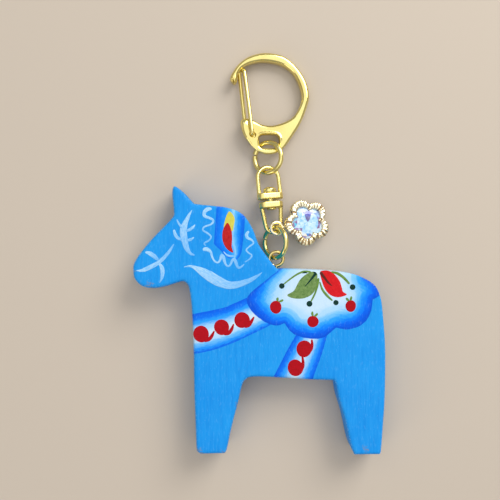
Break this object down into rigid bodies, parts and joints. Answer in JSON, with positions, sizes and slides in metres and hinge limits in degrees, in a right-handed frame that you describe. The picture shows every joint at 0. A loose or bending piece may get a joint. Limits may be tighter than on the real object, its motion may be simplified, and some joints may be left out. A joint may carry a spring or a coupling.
{
  "type": "dala horse bag charm",
  "caption": "Flat blue-painted wooden dala horse on a brass-coloured chain: screw eye, jump rings, swivel, stone-set flower and spring-gate snap hook.",
  "frame": {"origin": "under the middle of the whole charm, on the plane that it lies on with its painted front up", "axes": "+Z out of the horse's painted front, +Y up the chain from the hooves to the hook's bow, +X from the horse's nose to its tail"},
  "size_m": [0.0669, 0.1082, 0.01],
  "materials": {
    "painted_wood": "satin acrylic paint over wood",
    "brass_wire": "polished",
    "gold_plate": "polished plate",
    "pale_gold": "polished pale gold plate",
    "stone": "cut and polished"
  },
  "bodies": {
    "horse": {"horse_body": "painted_wood", "screw_eye": "brass_wire"},
    "lower_ring": {"lower_jump_ring": "brass_wire"},
    "charm": {"charm_base": "pale_gold", "charm_rim": "pale_gold", "charm_stone": "stone"},
    "lower_bail": {"lower_bail": "gold_plate", "swivel_rivet": "gold_plate"},
    "upper_bail": {"upper_bail": "gold_plate"},
    "upper_ring": {"upper_jump_ring": "brass_wire"},
    "hook": {"hook_body": "gold_plate"},
    "gate": {"hook_gate": "gold_plate"}
  },
  "joints": [
    {"name": "ring_in_eye", "type": "hinge", "parent": "horse", "child": "lower_ring", "pos_m": [0.00459, -0.00228, 0.00507], "axis": [-0.6666, -0.0872, -0.7403], "range_deg": [-6, 36]},
    {"name": "charm_swing", "type": "hinge", "parent": "lower_ring", "child": "charm", "pos_m": [0.0049, 0.0057, 0.0052], "axis": [0.5621, 0.004, 0.8271], "range_deg": [-28, 50]},
    {"name": "bail_swing", "type": "hinge", "parent": "lower_ring", "child": "lower_bail", "pos_m": [0.00387, 0.00594, 0.00426], "axis": [0.659, 0.1736, 0.7319], "range_deg": [-28, 42]},
    {"name": "swivel_turn", "type": "hinge", "parent": "lower_bail", "child": "upper_bail", "pos_m": [0.0031, 0.01325, 0.00365], "axis": [-0.1041, 0.9907, -0.0872], "continuous": true},
    {"name": "upper_ring_swing", "type": "hinge", "parent": "upper_bail", "child": "upper_ring", "pos_m": [0.0016, 0.0212, 0.00243], "axis": [0.8289, -0.176, 0.531], "range_deg": [-36, 70]},
    {"name": "hook_swing", "type": "hinge", "parent": "upper_ring", "child": "hook", "pos_m": [0.00284, 0.02923, 0.0024], "axis": [-0.075, -0.4729, -0.8779], "range_deg": [-80, 6]},
    {"name": "gate_open", "type": "hinge", "parent": "hook", "child": "gate", "pos_m": [-0.00195, 0.03135, 0.00307], "axis": [-0.0523, -0.0384, -0.9979], "range_deg": [0, 26], "stiffness_Nm_per_rad": 0.01, "springref_deg": -5.73}
  ]
}
